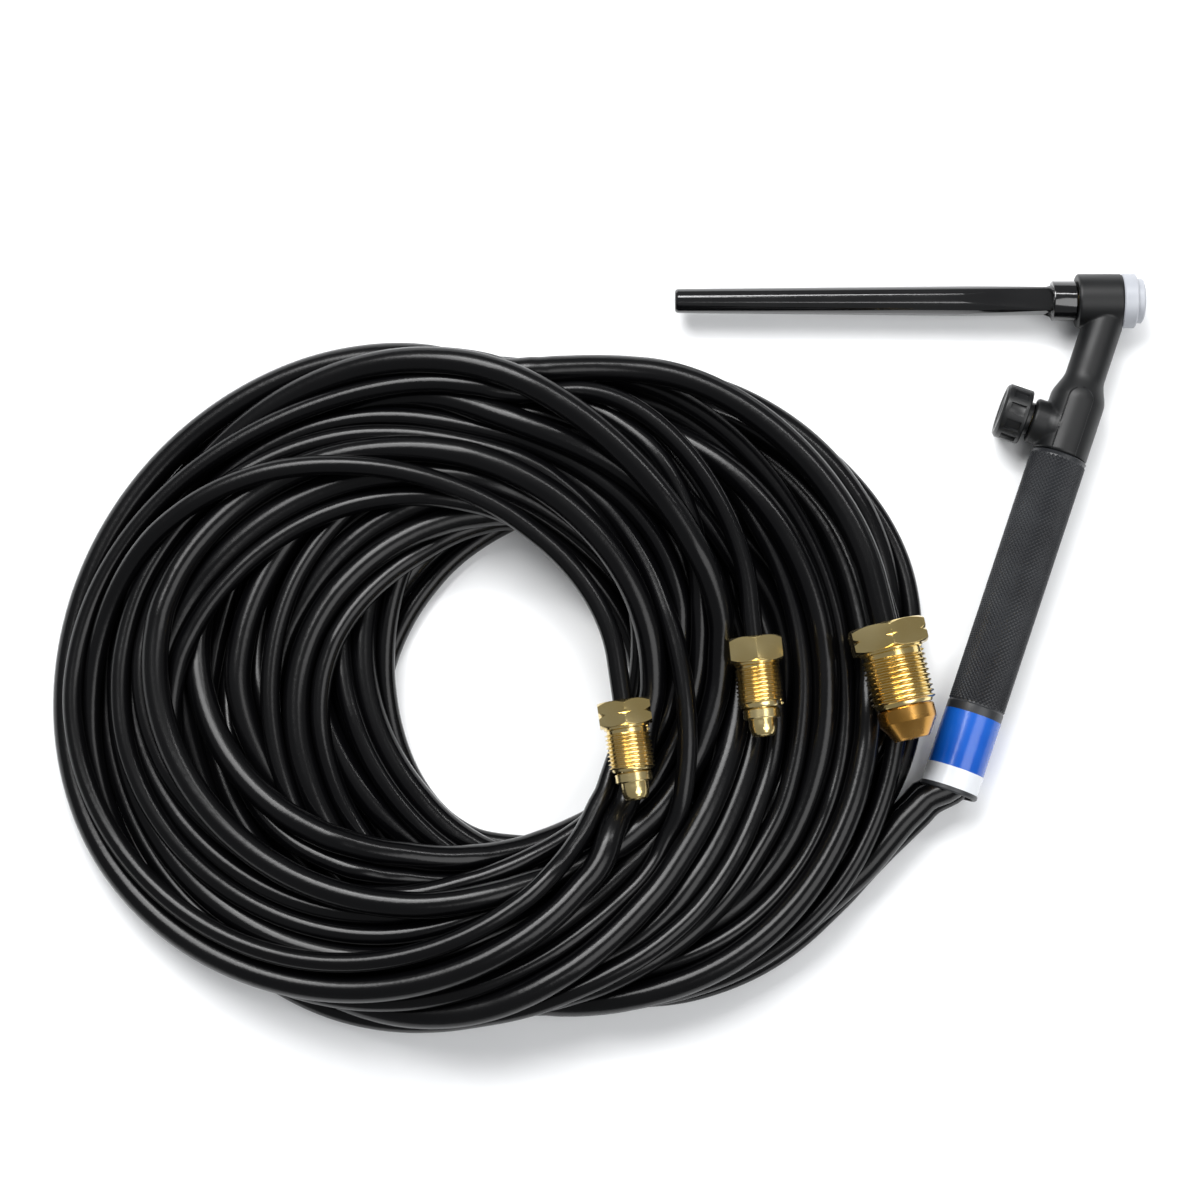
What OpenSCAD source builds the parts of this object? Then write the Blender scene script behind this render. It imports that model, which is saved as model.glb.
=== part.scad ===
// Water-cooled TIG torch with a gas valve in its body, a long back cap and three coiled hoses.
// It lies on its side on a bench: X runs along the electrode, Y away from the hose coil, Z up.

/* [Head] */
// Angle between the electrode and the handle, in degrees
head_angle = 71; // [60:1:80]
// Radius of the moulded head
head_r = 9.6; // [9.3:0.1:10]
// Length of the moulded head along the electrode
head_len = 16; // [15.5:0.5:18]
// Radius of the moulded neck
neck_r = 7.1; // [7:0.1:7.8]
// Radius of the body in front of the handle
body_r = 9.8; // [9.6:0.1:10]
// Distance from the electrode to the handle's front edge, along the handle
body_len = 59.4; // [59:0.2:63]

/* [Handle] */
// Length of the handle
handle_len = 126.2; // [110:0.2:140]
// Radius over the knurling
handle_r = 10.2; // [10.2:0.1:10.8]
// Radius of the handle's bore
handle_bore_r = 9; // [8.9:0.1:9.1]
// Length of the wrap-round label
label_len = 26.8; // [15:0.2:35]

/* [Back cap] */
// Length of the back cap behind the head
cap_len = 143.4; // [60:0.2:160]
// Radius of the cap beside its collar
cap_r = 5.65; // [5.6:0.05:6]
// Radius of the cap's closed end
cap_end_r = 4.35; // [4.2:0.05:5]

/* [Gas valve] */
// Distance from the electrode to the valve, along the handle
valve_t = 50.1; // [48:0.1:52]
// Radius of the valve's boss
boss_r = 8.1; // [7.6:0.1:8.4]
// Radius of the valve's knob
knob_r = 9.9; // [8.5:0.1:10.2]
// Number of notches round the knob
knob_notches = 10; // [6:1:14]

/* [Hoses] */
// Outer diameter of the power cable's hose
power_d = 9.5; // [9:0.1:9.6]
// Outer diameter of the water and gas hoses
small_d = 7; // [6.6:0.1:7.1]
// Height of the coil at its left and right sides
coil_side_h = 21; // [16:1:21]
// Height of the coil where its turns cross
coil_cross_h = 40; // [28:1:42]

/* [Hidden] */
$fn = 64;
eps = 0.01;
run_gap = 0.05;     // radial clearance of a thread or a running fit
air_gap = 0.3;      // gap between parts that move past each other

// head: distances along the electrode, from the handle's axis
head_front = 3.6;
head_back = head_front - head_len;
core_r = 6.6;
core_back = head_back + 2.6;
thread_hole_r = 4.35;
front_thread_len = 6.2;
rear_thread_len = 5.8;
waist_r = 3.4;
insulator_ring_r = head_r + 0.1;
insulator_step_r = 8;
insulator_ring_len = 5;
insulator_step_len = 2.2;
insulator_nose_len = 0.9;
insulator_len = insulator_ring_len + insulator_step_len + insulator_nose_len;
insulator_hole_r = 4.9;

// neck and body: distances along the handle's axis, from the electrode
flare_start = 29;
flare_end = 39;
flare_steps = 8;
spigot_end = body_len + 11.6;
spigot_r = handle_bore_r - run_gap;
handle_start = body_len + 0.2;
handle_end = handle_start + handle_len - 0.2;
rim_len = 1.8;
rim_r = 10.4;
label_end = handle_end - rim_len;
label_start = label_end - label_len;
label_seat_r = handle_r - 0.15;
label_r = handle_r - 0.03;
edge = 0.4;

// back cap
collar_r = 7.1;
collar_len = 8.5;
cap_front = head_back - air_gap;
cap_back = head_back - cap_len;
cap_bore_r = 3.2;
cap_end_wall = 5;
insert_flange_r = 5.2;
insert_flange_len = 7.5;
insert_neck_r = 4;
insert_bore_r = 2.6;
seal_cord_r = 0.9;
cap_seal_mid_r = 5.35;
cap_seal_at = 1.35;  // depth of the O-ring inside the head's back

// valve: heights above the handle's axis, towards the knob
seat_r = 5.2;
seat_low = 1.9;
seat_top = 10.5;
seat_floor = 5.2;
boss_bore_r = 5.6;
boss_end = 13.6;
stem_r = 3;
stem_tip_r = 0.6;
stem_tip_len = 2;
valve_seal_mid_r = 4.3;
valve_seal_at = 12;
hub_r = 6;
knob_low = 15.6;
knob_top = 25;
knob_recess = 1.5;  // depth of the dish in the knob's face
notch_depth = 1;
notch_w = 3;
notch_low = 2;      // distance from the knob's inner face to a notch
notch_len = 6.4;

// passages and hose ends inside the handle: [towards the knob, up]
power_r = power_d / 2;
small_r = small_d / 2;
power_tube_r = 2.2;
small_tube_r = 1.6;
power_tube_t = 5;
water_tube_t = 4.8;
gas_tube_t = 6.9;
gas_socket = 3.4;
power_in = [-1.4, 2.6];
water_in = [-2.4, -3];
gas_in = [3.6, -1.2];
power_out = [0, 4];
water_out = [-3.7, -3.6];
gas_out = [3.7, -3.6];
union_start = 133;
union_len = 8;
ferrule_start = union_start + union_len;
hose_start = 158.6;
barb_r = 2.3;
small_barb_r = 1.9;
power_hex_r = 4.6;
small_hex_r = 3.6;
union_bore_share = 0.6;   // bore of a union, as a share of its tube

// the torch is centred over its own box
reach_front = head_front + insulator_len;
reach_back = -cap_back;
reach_up = insulator_ring_r;
reach_down = handle_end * sin(head_angle) + rim_r * cos(head_angle);
head_x = (reach_back - reach_front) / 2;
head_y = (reach_down - reach_up) / 2;
axis_z = rim_r;

// coil: [centre x, centre y, outer radius, inner radius] of its lowest and its top turns
coil_low = [-105, -52, 111, 73];
coil_top = [-184, -54.5, 120, 70];
coil_centre = [-147, -52];
coil_rings = 72;
front_crossing = 250;    // direction of the front crossing, seen from the coil's centre

// fittings: [x, y, height, turn in degrees] of the back of each hexagon
power_at = [-12.5, -34, 36.5, 13];
water_at = [-102.6, -60.3, 35, 8.2];
gas_at = [-57.3, -38.3, 33.5, 5.5];

// fittings: [width across flats, hexagon length, thread radius, thread start, thread end,
//     shank radius, hose socket radius]
power_nut_size = [25.4, 9, 11.1, 9.8, 28.5, 6, 6.6];
small_nut_size = [18, 8.8, 7.94, 9.6, 23.8, 4.1, 4.8];
socket_depth = 7;
end_ferrule_back = 0.5;
end_ferrule_front = 5.4;
power_end_ferrule_r = 6.1;
small_end_ferrule_r = 4.4;
power_end_barb_r = 3;
power_nose_bore_r = 2.2;
small_nose_bore_r = 1.3;

// a place in the grip frame, [towards the knob, up] and a distance, as a point on the bench
function grip_point(at, t) = [
    head_x + at[0] * cos(90 + head_angle) - t * sin(90 + head_angle),
    head_y + at[0] * sin(90 + head_angle) + t * cos(90 + head_angle),
    axis_z + at[1]
];

// a point on a fitting's axis, s in front of the back of its hexagon
function fitting_point(at, s) = [at[0] + s * sin(at[3]), at[1] - s * cos(at[3]), at[2]];

// both ends of a hose's straight start inside the handle, and of its straight end in a fitting
function lead_start(out) = [grip_point(out, hose_start), grip_point(out, handle_end)];
function tail_end(at) = [fitting_point(at, -8), fitting_point(at, 0.2)];

// routes of the uncoiled stretches
power_lead_route = concat(
    lead_start(power_out), [[6, -102, 13], [-3, -113, 12], [-15, -124, 12], [-27, -134, 12]]);
water_lead_route = concat(
    lead_start(water_out), [[9, -103, 5], [1, -113, 4], [-11, -126, 4], [-24, -137, 4]]);
gas_lead_route = concat(
    lead_start(gas_out), [[2, -99, 5], [-6, -109, 4], [-17, -120, 4], [-29, -130, 4]]);
power_tail_route = concat(
    [[-85, 55, 28], [-60, 45, 28], [-40, 28, 29], [-24, 5, 32], [-17, -15, 36]], tail_end(power_at));
water_tail_route = concat(
    [[-135, 5, 28], [-120, -12, 29], [-110, -28, 32], [-105, -42, 34]], tail_end(water_at));
gas_tail_route = concat(
    [[-100, 38, 28], [-82, 28, 27], [-68, 10, 28], [-61, -10, 31], [-58, -24, 33]], tail_end(gas_at));

// ---- frames: each draws its children about one of the torch's axes ----

// Children stand on the electrode's axis, with +Z towards the electrode's tip
module on_head() {
    translate([head_x, head_y, axis_z]) rotate([0, 90, 0]) children();
}

// Children stand on the handle's axis: +Z runs to the hoses, +X to the knob, -Y up
module on_grip() {
    translate([head_x, head_y, axis_z]) rotate([-90, 0, 90 + head_angle]) children();
}

// Children stand on the valve's axis, with +Z towards the knob
module on_valve() {
    on_grip() translate([0, 0, valve_t]) rotate([0, 90, 0]) children();
}

// Children stand on a fitting's axis, with +Z towards its nose
module on_fitting(at) {
    translate([at[0], at[1], at[2]]) rotate([90, 0, at[3]]) children();
}

// ---- shared shapes ----

// A straight ring between two heights
module ring(r_out, r_in, low, high) {
    translate([0, 0, low]) difference() {
        cylinder(r = r_out, h = high - low);
        translate([0, 0, -1]) cylinder(r = r_in, h = high - low + 2);
    }
}

// A round O-ring
module o_ring(mid_r, cord_r, height) {
    translate([0, 0, height]) rotate_extrude() translate([mid_r, 0]) circle(r = cord_r, $fn = 24);
}

// A straight rod between two places in the grip frame, each [towards the knob, up] and a distance
module rod(from, from_t, to, to_t, r) {
    a = [from[0], -from[1], from_t];
    v = [to[0] - from[0], -(to[1] - from[1]), to_t - from_t];
    translate(a) rotate([0, acos(v[2] / norm(v)), atan2(v[1], v[0])]) cylinder(r = r, h = norm(v));
}

// ---- hose solids ----

// A point on a smooth curve through p, between p[i] and p[i + 1]
function curve_point(p, i, f) = let(
        last = len(p) - 1,
        a = p[max(i - 1, 0)],
        b = p[i],
        c = p[min(i + 1, last)],
        d = p[min(i + 2, last)])
    0.5 * (2 * b + (c - a) * f + (2 * a - 5 * b + 4 * c - d) * f * f + (3 * b - a - 3 * c + d) * f * f * f);

// Ring centres: every route point, and one between each pair
function ring_centres(p) = [
    for (i = [0 : len(p) - 2], f = [0, 0.5]) curve_point(p, i, f),
    p[len(p) - 1]
];

function unit(v) = v / norm(v);

// Direction of the route at ring i
function heading(c, i) = unit(c[min(i + 1, len(c) - 1)] - c[max(i - 1, 0)]);

// One ring of points round centre i
function ring_points(c, i, r, sides) = let(
        ahead = heading(c, i),
        side = unit(cross(ahead, [0, 0, 1])),
        up = cross(side, ahead))
    [for (k = [0 : sides - 1]) c[i] + r * (side * cos(360 * k / sides) + up * sin(360 * k / sides))];

// A hose along a route, closed at both ends
module hose(route, d, sides) {
    c = ring_centres(route);
    rings = len(c);
    points = [for (i = [0 : rings - 1]) each ring_points(c, i, d / 2, sides)];
    walls = [for (i = [0 : rings - 2], k = [0 : sides - 1]) let(n = (k + 1) % sides)
        [i * sides + k, i * sides + n, (i + 1) * sides + n, (i + 1) * sides + k]];
    start = [for (k = [sides - 1 : -1 : 0]) k];
    finish = [for (k = [0 : sides - 1]) (rings - 1) * sides + k];
    polyhedron(points = points, faces = concat([start], walls, [finish]), convexity = 6);
}

// Distance from the coil's centre to a turn's edge, in direction a
function turn_edge(turn, r, a) = let(
        off = [turn[0] - coil_centre[0], turn[1] - coil_centre[1]],
        ray = [cos(a), sin(a)],
        mid = off * ray,
        miss = off[0] * ray[1] - off[1] * ray[0])
    mid + sqrt(r * r - miss * miss);

function coil_outer(a) = max(turn_edge(coil_low, coil_low[2], a), turn_edge(coil_top, coil_top[2], a));
function coil_inner(a) = min(turn_edge(coil_low, coil_low[3], a), turn_edge(coil_top, coil_top[3], a));
// Share of the crossing's height at angle a: broad behind the torch, narrow in front of the fittings
function crossing(a) = a < 180 ? pow(sin(a), 2) : pow(max(cos(a - front_crossing), 0), 4);
function coil_height(a) = coil_side_h + (coil_cross_h - coil_side_h) * crossing(a);

// Rounded section of the pile at angle a, as [distance from the centre, height]
function coil_section(a) = let(r0 = coil_inner(a), r1 = coil_outer(a), h = coil_height(a)) [
    [r0 + 4, 0], [r1 - 4, 0], [r1, 4], [r1, 0.35 * h], [r1 - 12, 0.8 * h], [r1 - 26, h],
    [r0 + 22, h], [r0 + 8, 0.8 * h], [r0, 0.4 * h], [r0, 4]
];

// The pile of turns as one closed solid of its outer shape
module coil_solid() {
    sides = len(coil_section(0));
    points = [for (i = [0 : coil_rings - 1]) let(a = 360 * i / coil_rings) each
        [for (p = coil_section(a)) [coil_centre[0] + p[0] * cos(a), coil_centre[1] + p[0] * sin(a), p[1]]]];
    faces = [for (i = [0 : coil_rings - 1], k = [0 : sides - 1]) let(
            j = (i + 1) % coil_rings,
            n = (k + 1) % sides)
        [i * sides + k, j * sides + k, j * sides + n, i * sides + n]];
    polyhedron(points = points, faces = faces, convexity = 6);
}

// ---- head ----

// Outline of the neck, its flare and the body, to be spun round the handle's axis
module body_outline() {
    flare = [for (i = [0 : flare_steps]) let(s = i / flare_steps)
        [neck_r + (body_r - neck_r) * (1 - cos(180 * s)) / 2, flare_start + s * (flare_end - flare_start)]];
    polygon(concat(
        [[0, 0], [neck_r, 0]],
        flare,
        [[body_r, body_len], [spigot_r, body_len], [spigot_r, spigot_end], [0, spigot_end]]));
}

// Passages for the three tubes
module passages() {
    rod(power_in, power_tube_t, power_out, union_start, power_tube_r);
    rod(water_in, water_tube_t, water_out, union_start, small_tube_r);
    rod(gas_in, gas_tube_t, gas_in, valve_t - gas_socket, small_tube_r);
    rod(gas_in, valve_t + gas_socket, gas_out, union_start, small_tube_r);
}

module head_moulding() {
    color("#2b2c2e") difference() {
        union() {
            on_head() translate([0, 0, head_back]) cylinder(r = head_r, h = head_len);
            difference() {
                on_grip() rotate_extrude() body_outline();
                on_head() translate([0, 0, head_front]) cylinder(r = head_r + 1, h = insulator_len);
            }
            on_valve() cylinder(r = boss_r, h = boss_end);
        }
        on_head() translate([0, 0, head_back - 1]) cylinder(r = core_r, h = head_len + 2);
        on_grip() passages();
        on_valve() translate([0, 0, seat_low]) cylinder(r = seat_r, h = seat_top - seat_low);
        on_valve() translate([0, 0, seat_top - eps]) cylinder(r = boss_bore_r, h = boss_end);
    }
}

module head_core() {
    color("#c9a64a") difference() {
        on_head() translate([0, 0, core_back]) cylinder(r = core_r - run_gap, h = head_front - core_back);
        on_head() translate([0, 0, core_back - 1]) cylinder(r = waist_r, h = head_len + 2);
        on_head() translate([0, 0, head_front - front_thread_len]) cylinder(r = thread_hole_r, h = head_len);
        on_head() translate([0, 0, core_back + rear_thread_len - head_len])
            cylinder(r = thread_hole_r, h = head_len);
        on_grip() passages();
    }
}

module front_insulator() {
    step = insulator_ring_len + insulator_step_len;
    color("#e8eaee") on_head() translate([0, 0, head_front]) rotate_extrude() polygon([
        [insulator_hole_r, 0], [insulator_ring_r - edge, 0], [insulator_ring_r, edge],
        [insulator_ring_r, insulator_ring_len - edge], [insulator_ring_r - edge, insulator_ring_len],
        [insulator_step_r, insulator_ring_len], [insulator_step_r, step], [insulator_step_r - 0.5, step + 0.5],
        [insulator_step_r - 1.6, insulator_len], [insulator_hole_r, insulator_len]
    ]);
}

// ---- back cap ----

module back_cap() {
    body_start = cap_front - collar_len;
    bevel = 0.8;
    color("#0d0d0e") on_head() difference() {
        rotate_extrude() polygon([
            [0, cap_back], [cap_end_r - bevel, cap_back], [cap_end_r, cap_back + bevel],
            [cap_r, body_start - 0.6], [collar_r - 0.5, body_start], [collar_r, body_start + 0.5],
            [collar_r, cap_front], [0, cap_front]
        ]);
        translate([0, 0, cap_front - insert_flange_len]) cylinder(r = insert_flange_r, h = cap_len);
        translate([0, 0, cap_back + cap_end_wall]) cylinder(r = cap_bore_r, h = cap_len);
    }
}

module back_cap_insert() {
    color("#c9a64a") on_head() rotate_extrude() polygon([
        [insert_bore_r, cap_front - insert_flange_len], [insert_flange_r, cap_front - insert_flange_len],
        [insert_flange_r, cap_front], [insert_neck_r, cap_front], [insert_neck_r, core_back + edge],
        [thread_hole_r - run_gap, core_back + edge],
        [thread_hole_r - run_gap, core_back + rear_thread_len - edge],
        [insert_bore_r, core_back + rear_thread_len - edge]
    ]);
}

module back_cap_o_ring() {
    color("#1a1a1b") on_head() o_ring(cap_seal_mid_r, seal_cord_r, head_back + cap_seal_at);
}

// ---- tubes and valve ----

module power_tube() {
    color("#b87333") on_grip() rod(power_in, power_tube_t, power_out, union_start, power_tube_r);
}

module water_tube() {
    color("#b87333") on_grip() rod(water_in, water_tube_t, water_out, union_start, small_tube_r);
}

module gas_tube_front() {
    color("#b87333") on_grip() rod(gas_in, gas_tube_t, gas_in, valve_t - gas_socket, small_tube_r);
}

module gas_tube_rear() {
    color("#b87333") on_grip() rod(gas_in, valve_t + gas_socket, gas_out, union_start, small_tube_r);
}

module valve_seat() {
    color("#c9a64a") difference() {
        on_valve() translate([0, 0, seat_low]) cylinder(r = seat_r, h = seat_top - seat_low);
        on_valve() translate([0, 0, seat_floor]) cylinder(r = stem_r + run_gap, h = seat_top);
        on_grip() passages();
    }
}

module valve_stem() {
    tip = seat_floor + 0.2;
    color("#c9a64a") on_valve() rotate_extrude() polygon([
        [0, tip], [stem_tip_r, tip], [stem_r, tip + stem_tip_len],
        [stem_r, knob_top - knob_recess], [0, knob_top - knob_recess]
    ]);
}

module valve_o_ring() {
    color("#1a1a1b") on_valve() o_ring(valve_seal_mid_r, seal_cord_r, valve_seal_at);
}

module valve_knob() {
    bevel = 0.8;
    color("#232425") on_valve() difference() {
        rotate_extrude() polygon([
            [stem_r, boss_end + air_gap], [hub_r, boss_end + air_gap], [hub_r, knob_low],
            [knob_r - edge, knob_low], [knob_r, knob_low + edge], [knob_r, knob_top - bevel],
            [knob_r - bevel, knob_top], [0, knob_top], [0, knob_top - knob_recess],
            [stem_r, knob_top - knob_recess]
        ]);
        for (i = [0 : knob_notches - 1]) rotate([0, 0, 360 * i / knob_notches])
            translate([knob_r - notch_depth, -notch_w / 2, knob_low + notch_low])
                cube([notch_depth + 1, notch_w, notch_len]);
    }
}

// ---- handle ----

module handle() {
    color("#303134") on_grip() rotate_extrude() polygon([
        [handle_bore_r, handle_start], [handle_r - edge, handle_start], [handle_r, handle_start + edge],
        [handle_r, label_start], [label_seat_r, label_start], [label_seat_r, label_end],
        [rim_r, label_end], [rim_r, handle_end - edge], [rim_r - edge, handle_end], [handle_bore_r, handle_end]
    ]);
}

module handle_label() {
    color("#1156b2") on_grip() ring(label_r, label_seat_r, label_start, label_end);
}

// ---- hose connections inside the handle ----

// A hexagonal union with a barb that the hose is pushed on
module hose_union(at, hex_r, barb, tube_r) {
    color("#c9a64a") on_grip() translate([at[0], -at[1], 0]) difference() {
        union() {
            translate([0, 0, union_start]) cylinder(r = hex_r, h = union_len, $fn = 6);
            translate([0, 0, union_start]) cylinder(r = barb, h = hose_start - union_start);
        }
        translate([0, 0, union_start - 1]) cylinder(r = union_bore_share * tube_r, h = hose_start);
    }
}

// A crimped sleeve round the hose's end
module hose_ferrule(at, r, barb) {
    color("#b9bcc0") on_grip() translate([at[0], -at[1], 0]) ring(r, barb, ferrule_start, hose_start);
}

module power_union() {
    hose_union(power_out, power_hex_r, barb_r, power_tube_r);
}

module water_union() {
    hose_union(water_out, small_hex_r, small_barb_r, small_tube_r);
}

module gas_union() {
    hose_union(gas_out, small_hex_r, small_barb_r, small_tube_r);
}

module power_ferrule() {
    hose_ferrule(power_out, power_r, barb_r);
}

module water_ferrule() {
    hose_ferrule(water_out, small_r, small_barb_r);
}

module gas_ferrule() {
    hose_ferrule(gas_out, small_r, small_barb_r);
}

// ---- hoses ----

module power_lead() {
    color("#0b0b0c") hose(power_lead_route, power_d, 10);
}

module water_lead() {
    color("#0b0b0c") hose(water_lead_route, small_d, 8);
}

module gas_lead() {
    color("#0b0b0c") hose(gas_lead_route, small_d, 8);
}

module hose_coil() {
    color("#0b0b0c") coil_solid();
}

module power_tail() {
    color("#0b0b0c") hose(power_tail_route, power_d, 10);
}

module water_tail() {
    color("#0b0b0c") hose(water_tail_route, small_d, 8);
}

module gas_tail() {
    color("#0b0b0c") hose(gas_tail_route, small_d, 8);
}

// ---- end fittings ----

// A swivel nut: hexagon, relief and male thread at its major diameter, bored for the nipple's shank
module swivel_nut(size) {
    flats = size[0];
    thread_r = size[2];
    color("#c9a64a") difference() {
        union() {
            intersection() {
                cylinder(d = flats / cos(30), h = size[1], $fn = 6);
                rotate_extrude() polygon([
                    [0, 0], [flats / 2, 0], [flats / 2 / cos(30), 1.2], [flats / 2 / cos(30), size[1] - 1.2],
                    [flats / 2, size[1]], [0, size[1]]
                ]);
            }
            translate([0, 0, 1]) cylinder(r = thread_r - 0.9, h = size[3]);
            translate([0, 0, size[3]]) cylinder(r = thread_r, h = size[4] - size[3]);
            translate([0, 0, size[4]]) cylinder(r1 = thread_r, r2 = thread_r - 1, h = 0.6);
        }
        translate([0, 0, -1]) cylinder(r = size[5] + 2 * run_gap, h = size[4] + 3);
        translate([0, 0, -1]) cylinder(r = size[6], h = socket_depth + 1);
    }
}

// The nipple inside a swivel nut: barb, shank, and a shaped nose given as an outline from the nut's end
module nipple(size, barb, bore, nose) {
    tip = size[4] + 0.9;
    color("#c9a64a") rotate_extrude() polygon(concat(
        [[bore, end_ferrule_back], [barb, end_ferrule_back], [barb, end_ferrule_front],
            [size[5], end_ferrule_front], [size[5], tip]],
        [for (p = nose) [p[0], tip + p[1]]],
        [[bore, tip + nose[len(nose) - 1][1]]]));
}

// Collar and round bullet nose
function bullet_nose() = concat(
    [[6, 0], [6.4, 0.4], [6.4, 3.1], [6, 3.5], [4.8, 3.5], [4.8, 5.6]],
    [for (i = [1 : 6]) [2.2 + 2.6 * cos(12 * i), 5.6 + 3.9 * sin(15 * i)]]);

// Band and cone of the power nipple
function cone_nose() = [[9.5, 0], [9.95, 0.5], [9.95, 5], [6.4, 10.4], [5.9, 11]];

module end_ferrule(r, barb) {
    color("#b9bcc0") ring(r, barb, end_ferrule_back, end_ferrule_front - 0.2);
}

module power_end_ferrule() {
    on_fitting(power_at) end_ferrule(power_end_ferrule_r, power_end_barb_r);
}

module water_end_ferrule() {
    on_fitting(water_at) end_ferrule(small_end_ferrule_r, small_barb_r);
}

module gas_end_ferrule() {
    on_fitting(gas_at) end_ferrule(small_end_ferrule_r, small_barb_r);
}

module power_nipple() {
    on_fitting(power_at) nipple(power_nut_size, power_end_barb_r, power_nose_bore_r, cone_nose());
}

module water_nipple() {
    on_fitting(water_at) nipple(small_nut_size, small_barb_r, small_nose_bore_r, bullet_nose());
}

module gas_nipple() {
    on_fitting(gas_at) nipple(small_nut_size, small_barb_r, small_nose_bore_r, bullet_nose());
}

module power_nut() {
    on_fitting(power_at) swivel_nut(power_nut_size);
}

module water_nut() {
    on_fitting(water_at) swivel_nut(small_nut_size);
}

module gas_nut() {
    on_fitting(gas_at) swivel_nut(small_nut_size);
}

head_moulding();
head_core();
front_insulator();
back_cap();
back_cap_insert();
back_cap_o_ring();
power_tube();
water_tube();
gas_tube_front();
gas_tube_rear();
valve_seat();
valve_stem();
valve_o_ring();
valve_knob();
handle();
handle_label();
power_union();
water_union();
gas_union();
power_ferrule();
water_ferrule();
gas_ferrule();
power_lead();
water_lead();
gas_lead();
hose_coil();
power_tail();
water_tail();
gas_tail();
power_end_ferrule();
water_end_ferrule();
gas_end_ferrule();
power_nipple();
water_nipple();
gas_nipple();
power_nut();
water_nut();
gas_nut();
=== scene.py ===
"""Visual model of a water-cooled TIG torch with a gas valve, a long back cap and three coiled hoses."""
import logging
import math
from dataclasses import dataclass, field
from enum import Enum

import bmesh
import bpy
import numpy as np
from mathutils import Matrix, Vector


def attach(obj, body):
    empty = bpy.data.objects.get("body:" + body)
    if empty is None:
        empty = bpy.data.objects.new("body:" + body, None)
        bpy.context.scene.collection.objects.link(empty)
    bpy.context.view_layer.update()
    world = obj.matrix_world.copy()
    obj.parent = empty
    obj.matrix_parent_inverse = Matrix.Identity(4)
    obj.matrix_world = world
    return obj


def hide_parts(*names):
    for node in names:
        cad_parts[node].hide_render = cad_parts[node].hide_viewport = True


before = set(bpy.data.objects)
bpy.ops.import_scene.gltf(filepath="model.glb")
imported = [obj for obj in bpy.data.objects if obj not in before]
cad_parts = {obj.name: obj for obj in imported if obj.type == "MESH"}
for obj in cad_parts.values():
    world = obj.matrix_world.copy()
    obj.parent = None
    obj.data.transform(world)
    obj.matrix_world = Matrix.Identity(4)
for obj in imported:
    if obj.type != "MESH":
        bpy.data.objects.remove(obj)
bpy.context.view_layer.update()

LOG = logging.getLogger("torch")
MM = 0.001
TORCH_BODY = "torch"

# The torch's two axes, in millimetres and degrees, as the CAD places them
HEAD_CENTRE = Vector((72.05, 84.587, 10.4))
HEAD_ANGLE = 71.0


# ---------------------------------------------------------------- frames


def head_frame() -> Matrix:
    """Frame on the electrode's axis, with +Z towards the electrode's tip.

    Returns:
        A matrix in millimetres.
    """
    return Matrix.Translation(HEAD_CENTRE) @ Matrix.Rotation(math.radians(90), 4, "Y")


def grip_frame() -> Matrix:
    """Frame on the handle's axis: +Z runs to the hoses, +X to the knob and -Y up.

    Returns:
        A matrix in millimetres.
    """
    turn = Matrix.Rotation(math.radians(90 + HEAD_ANGLE), 4, "Z") @ Matrix.Rotation(math.radians(-90), 4, "X")
    return Matrix.Translation(HEAD_CENTRE) @ turn


def valve_frame(distance: float) -> Matrix:
    """Frame on the gas valve's axis, with +Z towards the knob.

    Args:
        distance: how far the valve stands from the electrode, along the handle.

    Returns:
        A matrix in millimetres.
    """
    return grip_frame() @ Matrix.Translation((0, 0, distance)) @ Matrix.Rotation(math.radians(90), 4, "Y")


# ---------------------------------------------------------------- materials


def linear(hex_colour: str) -> tuple[float, float, float, float]:
    """Turns an sRGB hex colour into linear light.

    Args:
        hex_colour: such as "#c9a64a".

    Returns:
        Red, green, blue and alpha.
    """
    shares = [int(hex_colour[i:i + 2], 16) / 255 for i in (1, 3, 5)]
    red, green, blue = (s / 12.92 if s <= 0.04045 else ((s + 0.055) / 1.055) ** 2.4 for s in shares)
    return red, green, blue, 1.0


def add_node(tree: bpy.types.NodeTree, kind: str, inputs: dict | None = None, **settings) -> bpy.types.Node:
    """Adds a node, with its settings, its constant inputs and its links.

    Args:
        tree: the material's node tree.
        kind: the node's type name.
        inputs: socket name or number to a constant or to the output socket that feeds it.
        **settings: attributes of the node.

    Returns:
        The new node.
    """
    node = tree.nodes.new(kind)
    for name, value in settings.items():
        setattr(node, name, value)
    for name, value in (inputs or {}).items():
        if isinstance(value, bpy.types.NodeSocket):
            tree.links.new(value, node.inputs[name])
        else:
            node.inputs[name].default_value = value
    return node


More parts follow.
